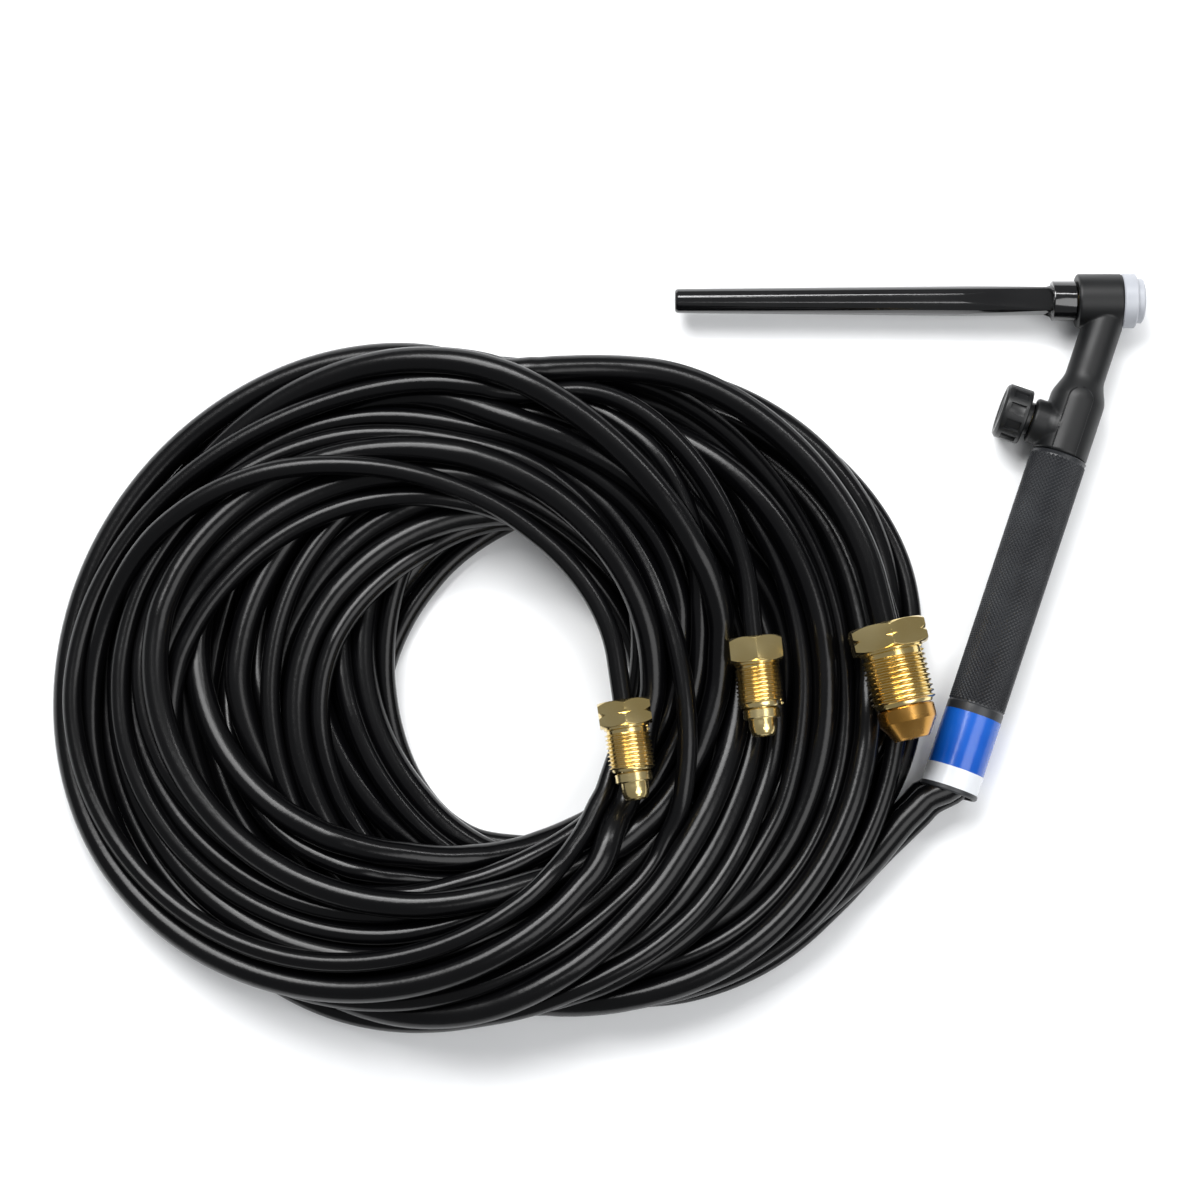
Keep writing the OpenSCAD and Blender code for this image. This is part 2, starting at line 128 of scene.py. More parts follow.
@dataclass(frozen=True)
class Finish:
    """One surface finish, with a fine grain and a slow change of colour.

    The grain is a noise in the bump, and the slow noise varies the colour and the roughness.
    """

    name: str
    colour: str
    tint: str
    roughness: float
    roughness_spread: float = 0.06
    metallic: float = 0.0
    ior: float | None = 1.5
    specular: float = 0.5
    grain_mm: float = 0.6
    grain_depth: float = 0.08
    patch_mm: float = 18.0
    coat: float = 0.0
    coat_roughness: float = 0.1

    def colour_socket(self, tree: bpy.types.NodeTree, patch: bpy.types.NodeSocket,
                      place: bpy.types.NodeSocket) -> bpy.types.NodeSocket:
        """Base colour: a slow drift between the two colours.

        Args:
            tree: the material's node tree.
            patch: the slow noise, from 0 to 1.
            place: the object coordinates; not used here.

        Returns:
            The colour's socket.
        """
        ramp = add_node(tree, "ShaderNodeValToRGB", {"Fac": patch})
        ramp.color_ramp.elements[0].position, ramp.color_ramp.elements[1].position = 0.35, 0.65
        ramp.color_ramp.elements[0].color = linear(self.colour)
        ramp.color_ramp.elements[1].color = linear(self.tint)
        return ramp.outputs["Color"]

    def material(self) -> bpy.types.Material:
        """Builds the finish, or returns it when it has been built.

        Returns:
            The material.
        """
        ready = bpy.data.materials.get(self.name)
        if ready:
            return ready
        made = bpy.data.materials.new(self.name)
        made.use_nodes = True
        made.diffuse_color = linear(self.colour)
        tree = made.node_tree
        tree.nodes.clear()
        place = add_node(tree, "ShaderNodeTexCoord").outputs["Object"]
        grain = add_node(tree, "ShaderNodeTexNoise", {
            "Vector": place, "Scale": 1 / (self.grain_mm * MM), "Detail": 3.0, "Roughness": 0.6})
        patch = add_node(tree, "ShaderNodeTexNoise", {
            "Vector": place, "Scale": 1 / (self.patch_mm * MM), "Detail": 2.0})
        rough = add_node(tree, "ShaderNodeMapRange", {
            "Value": patch.outputs["Fac"], "From Min": 0.3, "From Max": 0.7,
            "To Min": max(0.02, self.roughness - self.roughness_spread),
            "To Max": self.roughness + self.roughness_spread})
        bump = add_node(tree, "ShaderNodeBump", {
            "Height": grain.outputs["Fac"], "Strength": self.grain_depth, "Distance": self.grain_mm * MM * 0.4})
        shader = add_node(tree, "ShaderNodeBsdfPrincipled", {
            "Base Color": self.colour_socket(tree, patch.outputs["Fac"], place),
            "Roughness": rough.outputs["Result"], "Metallic": self.metallic,
            "Specular IOR Level": self.specular, "Coat Weight": self.coat,
            "Coat Roughness": self.coat_roughness, "Normal": bump.outputs["Normal"]})
        if self.ior:
            shader.inputs["IOR"].default_value = self.ior
        add_node(tree, "ShaderNodeOutputMaterial", {"Surface": shader.outputs["BSDF"]})
        return made


# Extruded black PVC hose: smooth with a soft gloss, so that it shows long thin lights
HOSE_PVC = Finish("extruded_black_pvc", "#040405", "#060607", 0.23, 0.04, specular=0.26,
                  grain_mm=2.5, grain_depth=0.05, patch_mm=60)
# Moulded silicone rubber over the head: satin, with a fine mould grain
HEAD_RUBBER = Finish("moulded_black_silicone", "#0b0c0d", "#101112", 0.44, 0.06, specular=0.34,
                     grain_mm=0.35, grain_depth=0.12)
# Compression-moulded phenolic back cap: hard, black and polished by its mould
CAP_PHENOLIC = Finish("polished_black_phenolic", "#070708", "#0b0b0c", 0.12, 0.03, grain_mm=3.0, grain_depth=0.03,
                      coat=0.5, coat_roughness=0.05)
# Glass-filled nylon knob: satin black with a slight texture
KNOB_NYLON = Finish("glass_filled_black_nylon", "#0e0f10", "#131415", 0.36, 0.05, specular=0.45,
                    grain_mm=0.5, grain_depth=0.12)
# Moulded handle: dark charcoal and dull
HANDLE_NYLON = Finish("moulded_charcoal_nylon", "#1e1f22", "#26282b", 0.4, 0.06, grain_mm=0.4, grain_depth=0.15)
# Heat-proof insulator: white PTFE, slightly waxy
WHITE_PTFE = Finish("turned_white_ptfe", "#9fa2a9", "#abaeb4", 0.38, 0.05, grain_mm=0.8, grain_depth=0.05)
# Turned free-cutting brass: bright yellow with a fine grain
TURNED_BRASS = Finish("turned_brass", "#dec584", "#e8d49c", 0.2, 0.05, 1.0, None, grain_mm=0.5, grain_depth=0.1)
# Turned bronze: browner than the brass beside it
TURNED_BRONZE = Finish("turned_bronze", "#b4853f", "#c39552", 0.26, 0.05, 1.0, None,
                       grain_mm=0.5, grain_depth=0.1)
# Drawn copper tube inside the torch
DRAWN_COPPER = Finish("drawn_copper", "#c27d55", "#d08e66", 0.3, 0.06, 1.0, None, grain_mm=0.6, grain_depth=0.1)
# Zinc-plated steel ferrules, crimped on the hoses' ends
PLATED_STEEL = Finish("zinc_plated_steel", "#aeb2b8", "#c2c6cb", 0.32, 0.06, 1.0, None,
                      grain_mm=0.6, grain_depth=0.1)
# Nitrile O-rings: dull black
NITRILE = Finish("moulded_nitrile", "#141415", "#1a1a1b", 0.55, 0.05, grain_mm=0.4, grain_depth=0.1)


@dataclass(frozen=True)
class BandFinish(Finish):
    """A printed film whose colour changes at one distance along the handle."""

    band_colour: str = "#d9dce0"
    band_start_mm: float = 176.9

    def colour_socket(self, tree: bpy.types.NodeTree, patch: bpy.types.NodeSocket,
                      place: bpy.types.NodeSocket) -> bpy.types.NodeSocket:
        """Base colour: the film's colour, and the pale band's past its start.

        Args:
            tree: the material's node tree.
            patch: the slow noise, from 0 to 1.
            place: the object coordinates.

        Returns:
            The colour's socket.
        """
        axis = grip_frame().to_3x3().col[2]
        start = HEAD_CENTRE * MM + axis * self.band_start_mm * MM
        along = add_node(tree, "ShaderNodeVectorMath", {0: place, 1: start}, operation="SUBTRACT")
        along = add_node(tree, "ShaderNodeVectorMath", {0: along.outputs["Vector"], 1: axis},
                         operation="DOT_PRODUCT")
        past = add_node(tree, "ShaderNodeMath", {0: along.outputs["Value"], 1: 0.0}, operation="GREATER_THAN")
        film = super().colour_socket(tree, patch, place)
        mix = add_node(tree, "ShaderNodeMix", {0: past.outputs["Value"]}, data_type="RGBA")
        tree.links.new(film, mix.inputs[6])
        mix.inputs[7].default_value = linear(self.band_colour)
        return mix.outputs[2]


# Printed vinyl film wrapped round the handle: glossy blue with a pale band at its end
LABEL_VINYL = BandFinish("printed_blue_vinyl", "#0c4fae", "#1257b6", 0.22, 0.03, grain_mm=4.0, grain_depth=0.03)

NODE_FINISH = {
    "front_insulator": WHITE_PTFE, "back_cap": CAP_PHENOLIC, "valve_knob": KNOB_NYLON, "handle": HANDLE_NYLON,
    "handle_label": LABEL_VINYL, "head_moulding": HEAD_RUBBER,
    "head_core": TURNED_BRASS, "back_cap_insert": TURNED_BRASS, "valve_seat": TURNED_BRASS,
    "valve_stem": TURNED_BRASS, "power_union": TURNED_BRASS, "water_union": TURNED_BRASS,
    "gas_union": TURNED_BRASS, "power_nut": TURNED_BRASS, "water_nut": TURNED_BRASS, "gas_nut": TURNED_BRASS,
    "water_nipple": TURNED_BRASS, "gas_nipple": TURNED_BRASS, "power_nipple": TURNED_BRONZE,
    "power_tube": DRAWN_COPPER, "water_tube": DRAWN_COPPER, "gas_tube_front": DRAWN_COPPER,
    "gas_tube_rear": DRAWN_COPPER,
    "power_ferrule": PLATED_STEEL, "water_ferrule": PLATED_STEEL, "gas_ferrule": PLATED_STEEL,
    "power_end_ferrule": PLATED_STEEL, "water_end_ferrule": PLATED_STEEL, "gas_end_ferrule": PLATED_STEEL,
    "back_cap_o_ring": NITRILE, "valve_o_ring": NITRILE,
}


def dress_nodes() -> None:
    """Gives every carried-over CAD node its finish."""
    for name, finish in NODE_FINISH.items():
        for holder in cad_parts[name].material_slots:
            holder.material = finish.material()
    LOG.info("dressed %d CAD nodes", len(NODE_FINISH))


# ---------------------------------------------------------------- hoses


class Hose(Enum):
    """The three hoses."""

    POWER = "power"
    WATER = "water"
    GAS = "gas"


@dataclass
class HoseRoute:
    """One hose's facts, with its uncoiled stretches in metres.

    At most, the gas tail strays about 10 mm and the power tail about 15 mm from the CAD's.
    """

    kind: Hose
    diameter: float
    length: float
    exit: tuple[float, float, float]
    lead: list[tuple[float, float, float]]
    tail: list[tuple[float, float, float]]
    start_height: float
    side: float
    seed: float
    fitting: tuple[float, float, float, float]
    fitting_radius: float
    fitting_length: float

    def fitting_axis(self) -> np.ndarray:
        """Direction of the end fitting's nose, in plan."""
        turn = math.radians(self.fitting[3])
        return np.array([math.sin(turn), -math.cos(turn)])


ROUTES = [
    HoseRoute(
        Hose.POWER, 0.0095, 7.6, (0.0116, -0.0909, 0.0144),
        [(0.0204, -0.0654, 0.0144), (0.0116, -0.0909, 0.0144), (0.0055, -0.101, 0.0128),
         (-0.003, -0.1125, 0.0114), (-0.0145, -0.1235, 0.011), (-0.027, -0.1335, 0.011)],
        [(-0.15, 0.049, 0.028), (-0.122, 0.05, 0.029), (-0.095, 0.044, 0.029), (-0.068, 0.032, 0.03),
         (-0.045, 0.015, 0.032), (-0.0275, -0.0035, 0.0345), (-0.0165, -0.0165, 0.0362), (-0.0143, -0.0262, 0.0365),
         (-0.0125, -0.0342, 0.0365)],
        0.011, 0.0, 0.0, (-12.5, -34.0, 36.5, 13.0), 14.7, 41.0),
    HoseRoute(
        Hose.WATER, 0.007, 7.6, (0.0151, -0.0921, 0.0068),
        [(0.0239, -0.0666, 0.0068), (0.0151, -0.0921, 0.0068), (0.009, -0.1028, 0.0046),
         (0.0012, -0.113, 0.0035), (-0.011, -0.1258, 0.0035), (-0.024, -0.1365, 0.0035)],
        [(-0.136, 0.004, 0.027), (-0.121, -0.012, 0.028), (-0.1108, -0.028, 0.031),
         (-0.1052, -0.0425, 0.0345), (-0.1037, -0.0524, 0.035), (-0.1026, -0.0605, 0.035)],
        0.0035, 1.0, 2.1, (-102.6, -60.3, 35.0, 8.2), 10.4, 35.0),
    HoseRoute(
        Hose.GAS, 0.007, 7.6, (0.0081, -0.0897, 0.0068),
        [(0.0169, -0.0642, 0.0068), (0.0081, -0.0897, 0.0068), (0.0026, -0.0996, 0.0046),
         (-0.0048, -0.1088, 0.0035), (-0.0165, -0.1198, 0.0035), (-0.029, -0.1295, 0.0035)],
        [(-0.15, 0.04, 0.026), (-0.126, 0.039, 0.027), (-0.103, 0.031, 0.028), (-0.083, 0.016, 0.029),
         (-0.067, -0.002, 0.031), (-0.059, -0.0204, 0.0332), (-0.0581, -0.0303, 0.0335), (-0.0573, -0.0385, 0.0335)],
        0.0035, -1.0, 4.4, (-57.3, -38.3, 33.5, 5.5), 10.4, 35.0),
]


def smoothstep(share: np.ndarray) -> np.ndarray:
    """Eases a share from 0 to 1, flat at both ends."""
    held = np.clip(share, 0, 1)
    return held * held * (3 - 2 * held)


def curve_through(points: np.ndarray, steps: int = 24) -> np.ndarray:
    """Samples a smooth curve that passes through the points.

    Args:
        points: the points, one a row.
        steps: samples between each two points.

    Returns:
        The samples, one a row.
    """
    p = np.vstack([2 * points[0] - points[1], points, 2 * points[-1] - points[-2]])
    t = np.linspace(0, 1, steps, endpoint=False)[:, None]
    spans = []
    for a, b, c, d in zip(p[:-3], p[1:-2], p[2:-1], p[3:]):
        spans.append(0.5 * (2 * b + (c - a) * t + (2 * a - 5 * b + 4 * c - d) * t**2
                            + (3 * b - a - 3 * c + d) * t**3))
    return np.vstack(spans + [p[-2:-1]])


def evenly(points: np.ndarray, step: float) -> np.ndarray:
    """Samples a line of points at even distances.

    Args:
        points: the points, one a row.
        step: the distance between samples.

    Returns:
        The samples, one a row.
    """
    far = np.r_[0, np.cumsum(np.linalg.norm(np.diff(points, axis=0), axis=1))]
    at = np.linspace(0, far[-1], max(2, round(far[-1] / step)) + 1)
    return np.stack([np.interp(at, far, points[:, axis]) for axis in range(3)], 1)


@dataclass
class HosePile:
    """Winds three hoses into one slack coil and lets them settle on the bench, in millimetres.

    The turns go clockwise, and their centre drifts to the left from the first turn to the last.
    """

    routes: list[HoseRoute]
    low_centre: tuple[float, float] = (-104.0, -52.0)
    top_centre: tuple[float, float] = (-184.0, -54.5)
    low_reach: float = 113.6
    top_reach: float = 121.5
    hole_low: float = 72.7
    hole_top: float = 69.0
    turn_radius: tuple[float, float] = (77.0, 111.0)
    turns: int = 12
    step: float = 5.0
    stiffness: float = 20.0
    rounds: int = 240
    handle_radius: float = 10.4
    handle_length: float = 185.6
    held_at_exit: int = 6
    held_at_fitting: int = 4
    eased_at_exit: int = 27
    eased_at_fitting: int = 38
    mate_reach: float = 32.0
    reach: float = 7.0
    points: np.ndarray = field(default_factory=lambda: np.zeros((0, 3)))
    hose: np.ndarray = field(default_factory=lambda: np.zeros(0, int))

    def winding(self, route: HoseRoute) -> np.ndarray:
        """Lays out the turns of one hose, well above where they settle.

        Args:
            route: the hose.

        Returns:
            Points in millimetres, one a row.
        """
        first, last = np.array(route.lead[-1]) / MM, np.array(route.tail[0]) / MM
        low, top = np.array(self.low_centre), np.array(self.top_centre)
        start_deg = math.degrees(math.atan2(first[1] - low[1], first[0] - low[0]))
        end_deg = math.degrees(math.atan2(last[1] - top[1], last[0] - top[0]))
        start_radius, end_radius = math.dist(first[:2], low), math.dist(last[:2], top)
        total = start_deg - end_deg + 360 * self.turns
        turned = np.radians(np.arange(6, total - 9, 3.0))
        turn = turned / (2 * math.pi)
        whole = total / 360
        share = turn / whole
        drift = (0.4 * share + 0.6 * smoothstep(share))[:, None]
        centre = low + (top - low) * drift
        settled_in = smoothstep(turn / 0.9)
        leaving = smoothstep(1 - (whole - turn) / 0.5)
        wave = 13.0 * np.sin(2 * math.pi * 0.618 * turn + 2.2) + 6.0 * np.sin(2 * math.pi * 1.23 * turn + 0.9)
        twist = 2 * math.pi * 0.17 * turn
        own = route.side * 8.4 * np.cos(twist) + 3.5 * np.sin(2 * math.pi * 0.83 * turn + route.seed)
        inner, outer = self.turn_radius
        middle, half = (inner + outer) / 2, (outer - inner) / 2
        radius = middle + half * np.tanh(0.95 * (wave + own) / half)
        radius = (1 - settled_in) * (start_radius - 4.5 * np.clip(turn / 0.1, 0, 1)) + settled_in * radius
        radius = (1 - leaving) * radius + leaving * end_radius
        angle = math.radians(start_deg) - turned
        x = centre[:, 0] + radius * np.cos(angle)
        y = centre[:, 1] + radius * np.sin(angle)
        z = (route.start_height / MM + 2.0 * settled_in + 18.0 * turn
             + route.side * 4.5 * np.sin(twist) * settled_in)
        return np.stack([x, y, z], 1)

    def layout(self, route: HoseRoute) -> np.ndarray:
        """Joins the lead, the turns and the tail of one hose into one line of even steps.

        Args:
            route: the hose.

        Returns:
            Points in millimetres, one a row.
        """
        coil = self.winding(route)
        lead, tail = np.array(route.lead) / MM, np.array(route.tail) / MM
        drop = np.arange(len(tail)) / (len(tail) - 3)
        raised = tail.copy()
        raised[:-3, 2] = (coil[-1, 2] + (tail[:, 2] - coil[-1, 2]) * drop)[:-3]
        bridge = curve_through(np.vstack([lead[-2:], coil[:2]]))[24:48]
        end = curve_through(np.vstack([coil[-3], coil[-1], raised]))[24:]
        line = np.vstack([curve_through(lead)[:-1], bridge, coil[:-1], end])
        apart = np.linalg.norm(np.diff(line, axis=0), axis=1) > 1e-6
        line = evenly(line[np.r_[True, apart]], self.step)
        for back in range(self.held_at_fitting):
            line[-1 - back] = tail[-1] - back * self.step * np.array([*route.fitting_axis(), 0])
        return line

    def close_pairs(self, points: np.ndarray, radius: np.ndarray,
                    order: np.ndarray) -> tuple[np.ndarray, np.ndarray]:
        """Finds the pairs of points that are near each other and not neighbours on one hose.

        Args:
            points: all the points.
            radius: each point's hose radius.
            order: each point's number along its hose.

        Returns:
            The first and the second point's number of each pair.
        """
        firsts, seconds = [], []
        light = points.astype(np.float32)
        square = (light * light).sum(1)
        for low in range(0, len(points), 512):
            some = light[low:low + 512]
            gap = square[low:low + 512, None] + square[None, low:] - 2 * some @ light[low:].T
            limit = radius[low:low + 512, None] + radius[None, low:] + self.reach
            a, b = np.nonzero(gap < limit * limit)
            a, b = a + low, b + low
            keep = (b > a) & ((self.hose[a] != self.hose[b]) | (np.abs(order[a] - order[b]) >= 6))
            firsts.append(a[keep])
            seconds.append(b[keep])
        return np.concatenate(firsts), np.concatenate(seconds)

    def stiffen(self, change: np.ndarray, length: float) -> np.ndarray:
        """Takes the short waves out of each hose's shift, as bending stiffness does.

        Args:
            change: each point's shift from where it was laid.
            length: shifts with waves much longer than this stay.

        Returns:
            The smoother shift, with each hose's end values kept.
        """
        smooth = change.copy()
        for number in range(len(self.routes)):
            rows = np.flatnonzero(self.hose == number)
            part = change[rows]
            pad = 64
            wide = np.vstack([2 * part[0] - part[pad:0:-1], part, 2 * part[-1] - part[-2:-pad - 2:-1]])
            base = wide[0] + (wide[-1] - wide[0]) * np.linspace(0, 1, len(wide))[:, None]
            ring = np.vstack([wide - base, (wide - base)[-2:0:-1]])
            wave = 2 * math.pi * np.fft.rfftfreq(len(ring), self.step)[:, None]
            ring = np.fft.irfft(np.fft.rfft(ring, axis=0) / (1 + (length * wave) ** 4), n=len(ring), axis=0)
            smooth[rows] = (ring[:len(wide)] + base)[pad:pad + len(part)]
        return smooth

    def hold_outline(self, points: np.ndarray, radius: np.ndarray, free: np.ndarray) -> None:
        """Keeps the turns inside the coil's outline and out of its hole, as their ties did.

        Args:
            points: all the points, changed in place.
            radius: each point's hose radius.
            free: 1 for a point that may move, else 0.
        """
        low, top = np.array(self.low_centre), np.array(self.top_centre)
        from_low, from_top = points[:, :2] - low, points[:, :2] - top
        far_low, far_top = np.hypot(*from_low.T), np.hypot(*from_top.T)
        over_low, over_top = far_low - (self.low_reach - radius), far_top - (self.top_reach - radius)
        outside = np.minimum(over_low, over_top)
        inward = np.where((over_low < over_top)[:, None],
                          from_low / far_low[:, None], from_top / far_top[:, None])
        points[:, :2] -= 0.4 * (np.clip(outside, 0, None) * free)[:, None] * inward
        under_low, under_top = (self.hole_low + radius) - far_low, (self.hole_top + radius) - far_top
        inside = np.minimum(under_low, under_top)
        outward = np.where((under_low < under_top)[:, None], from_low / far_low[:, None],
                           from_top / far_top[:, None])
        points[:, :2] += 0.4 * (np.clip(inside, 0, None) * free)[:, None] * outward

    def clear_torch(self, points: np.ndarray, radius: np.ndarray, free: np.ndarray) -> None:
        """Keeps the turns beside the handle, so that they don't run through it.

        Args:
            points: all the points, changed in place.
            radius: each point's hose radius.
            free: 1 for a point that may move, else 0.
        """
        axis = np.array(grip_frame().to_3x3().col[2])
        from_head = points - np.array(HEAD_CENTRE)
        along = np.clip(from_head @ axis, 0, self.handle_length)
        away = from_head - along[:, None] * axis
        far = np.hypot(away[:, 0], away[:, 1]) + 1e-9
        over = np.clip(self.handle_radius + radius - far, 0, None) * free
        points[:, :2] += 0.5 * over[:, None] * away[:, :2] / far[:, None]

    def clear_fittings(self, points: np.ndarray, radius: np.ndarray, free: np.ndarray,
                       left: np.ndarray) -> None:
        """Presses the turns down under the end fittings that lie on them, and for a way in front of their noses.

        Args:
            points: all the points, changed in place.
            radius: each point's hose radius.
            free: 1 for a point that may move, else 0.
            left: how many steps each point is from its hose's fitting.
        """
        for number, route in enumerate(self.routes):
            nose = route.fitting_axis()
            offset = points[:, :2] - np.array(route.fitting[:2])
            along, aside = offset @ nose, offset @ np.array([nose[1], -nose[0]])
            reach = route.fitting_radius + radius
            under = (np.abs(aside) < reach) & (along > -8) & (along < route.fitting_length + self.mate_reach)
            under &= (self.hose != number) | (left > 14)
            ceiling = route.fitting[2] - np.sqrt(np.clip(reach**2 - aside**2, 0, None))
            press = np.where(under, np.clip(points[:, 2] - ceiling, 0, None), 0) * free
            points[:, 2] -= np.minimum(0.5 * press, 2.0)

    def ease_ends(self, points: np.ndarray, leads: bool) -> None:
        """Lays each hose in one smooth curve into its fitting, and out of the handle.

        Args:
            points: all the points, changed in place.
            leads: whether the stretches at the handle are laid too.
        """
        for number in range(len(self.routes)):
            rows = np.flatnonzero(self.hose == number)
            ends = [(rows[::-1], self.held_at_fitting, self.eased_at_fitting)]
            if leads:
                ends.append((rows, self.held_at_exit, self.eased_at_exit))
            for line, held, eased in ends:
                near, far = line[held - 1], line[eased]
                out = points[near] - points[line[held - 2]]
                back = points[line[eased + 3]] - points[far]
                back[2] = 0
                span = np.linalg.norm(points[far] - points[near])
                out, back = out / np.linalg.norm(out) * span, back / np.linalg.norm(back) * span
                s = np.linspace(0, 1, eased - held + 2)[:, None]
                points[line[held - 1:eased + 1]] = (
                    (1 + 2 * s) * (1 - s)**2 * points[near] + s * (1 - s)**2 * out
                    + s**2 * (3 - 2 * s) * points[far] + s**2 * (s - 1) * back)

    def part_overlaps(self, points: np.ndarray, radius: np.ndarray, free: np.ndarray,
                      pairs: tuple[np.ndarray, np.ndarray]) -> None:
        """Pushes touching hoses apart and lifts them off the bench.

        Args:
            points: all the points, changed in place.
            radius: each point's hose radius.
            free: 1 for a point that may move, else 0.
            pairs: the pairs of points that may touch.
        """
        first, second = pairs
        away = points[second] - points[first]
        far = np.sqrt((away * away).sum(1)) + 1e-9
        over = radius[first] + radius[second] - far
        hit = over > 0
        a, b = first[hit], second[hit]
        push = away[hit] / far[hit, None] * (0.5 * over[hit])[:, None]
        both = np.maximum(free[a] + free[b], 1e-9)
        count = len(points)
        touches = np.bincount(a, minlength=count) + np.bincount(b, minlength=count)
        share = 1.0 / np.maximum(1.0, 0.45 * touches)
        for axis in range(3):
            moved = (np.bincount(b, push[:, axis] * 2 * free[b] / both, count)
                     - np.bincount(a, push[:, axis] * 2 * free[a] / both, count))
            points[:, axis] += moved * share
        points[:, 2] += np.maximum(radius - points[:, 2], 0) * free

    def settle(self) -> None:
        """Drops the turns on the bench and on each other, holding the leads and the fittings' ends."""
        lines = [self.layout(route) for route in self.routes]
        self.hose = np.concatenate([np.full(len(line), n) for n, line in enumerate(lines)])
        order = np.concatenate([np.arange(len(line)) for line in lines])
        left = np.concatenate([np.arange(len(line))[::-1] for line in lines])
        radius = np.array([route.diameter / MM / 2 for route in self.routes])[self.hose]
        x = np.vstack(lines)
        laid, home = x.copy(), x[:, :2].copy()
        free = ((order >= self.held_at_exit) & (left >= self.held_at_fitting)).astype(float)
        on_tail = left <= self.eased_at_fitting
        pinned = free == 0
        pairs, when_paired = None, x
        for number in range(self.rounds):
            if pairs is None or np.abs(x - when_paired).max() > self.reach / 2.2:
                pairs, when_paired = self.close_pairs(x, radius, order), x.copy()
            late = number / self.rounds
            fall = np.maximum(0.3, 0.024 * x[:, 2]) if late < 0.65 else 0.3 * max(0.0, (0.93 - late) / 0.28)
            x[:, 2] -= fall * free
            x[:, :2] += 0.003 * (home - x[:, :2]) * free[:, None]
            self.hold_outline(x, radius, free)
            self.clear_torch(x, radius, free)
            if late > 0.5:
                self.clear_fittings(x, radius, free, left)
            shift = np.concatenate([x[:, :2] - home, x[:, 2:]], 1)
            shift = self.stiffen(shift, self.stiffness * (1.0 if late < 0.93 else 0.5))
            x = np.concatenate([shift[:, :2] + home, shift[:, 2:]], 1)
            x[pinned] = laid[pinned]
            if late > 0.6:
                self.ease_ends(x, leads=late < 0.8)
            loose = np.where(on_tail & (late > 0.6), 0.0, free)
            for _ in range(3 if late < 0.65 else 5):
                self.part_overlaps(x, radius, loose, pairs)
        self.ease_ends(x, leads=False)
        self.points = x

    def line(self, number: int) -> np.ndarray:
        """One settled hose's middle line.

        Args:
            number: the hose's place in routes.

        Returns:
            Points in metres at even steps, one a row.
        """
        return evenly(curve_through(self.points[self.hose == number], 4), 2.5) * MM


@dataclass
class HoseSet:
    """The three hoses as the visual model has them."""

    pile: HosePile
    lines: dict[Hose, np.ndarray] = field(default_factory=dict)

    def lay(self, route: HoseRoute, line: np.ndarray) -> bpy.types.Object:
        """Makes one hose as a round curve along its middle line.

        Args:
            route: the hose.
            line: its middle line, in metres.

        Returns:
            The hose's object.
        """
        curve = bpy.data.curves.new(f"{route.kind.value}_hose", "CURVE")
        curve.dimensions = "3D"
        curve.bevel_depth = route.diameter / 2
        curve.bevel_resolution = 5
        curve.use_fill_caps = True
        spline = curve.splines.new("POLY")
        spline.points.add(len(line) - 1)
        spline.points.foreach_set("co", np.c_[line, np.ones(len(line))].ravel())
        spline.use_smooth = True
        curve.materials.append(HOSE_PVC.material())
        hose = bpy.data.objects.new(curve.name, curve)
        bpy.context.scene.collection.objects.link(hose)
        return hose

    def build(self) -> None:
        self.pile.settle()
        for number, route in enumerate(self.pile.routes):
            name = route.kind.value
            line = self.pile.line(number)
            self.lines[route.kind] = line
            hose = self.lay(route, line)
            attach(hose, TORCH_BODY)
            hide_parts(f"{name}_lead", f"{name}_tail", "hose_coil")
            LOG.info("%s hose: %.2f m, top %.1f mm, x %.1f to %.1f, y %.1f to %.1f", name,
                     np.linalg.norm(np.diff(line, axis=0), axis=1).sum(), line[:, 2].max() / MM,
                     line[:, 0].min() / MM, line[:, 0].max() / MM, line[:, 1].min() / MM, line[:, 1].max() / MM)


# ---------------------------------------------------------------- modelling


def lay_down_tools() -> None:
    """Leaves edit mode and deselects everything."""
    if bpy.context.object and bpy.context.object.mode != "OBJECT":
        bpy.ops.object.mode_set(mode="OBJECT")
    bpy.ops.object.select_all(action="DESELECT")


def take(piece: bpy.types.Object) -> None:
    """Makes a piece the only one selected, and the active one.

    Args:
        piece: the object.
    """
    lay_down_tools()
    piece.select_set(True)
    bpy.context.view_layer.objects.active = piece


def pick(piece: bpy.types.Object, kind: str, wanted) -> int:
    """Selects a piece's vertices, edges or faces by their place, and nothing else. The piece is in edit mode.

    Args:
        piece: the object.
        kind: "VERT", "EDGE" or "FACE".
        wanted: tells from a vertex, edge or face of the mesh whether it is selected.

    Returns:
        How many are selected.
    """
    bpy.ops.mesh.select_mode(type=kind)
    bpy.ops.mesh.select_all(action="DESELECT")
    shape = bmesh.from_edit_mesh(piece.data)
    elements = {"VERT": shape.verts, "EDGE": shape.edges, "FACE": shape.faces}[kind]
    count = 0
    for element in elements:
        if wanted(element):
            element.select = True
            count += 1
    shape.select_flush_mode()
    bmesh.update_edit_mesh(piece.data)
    return count


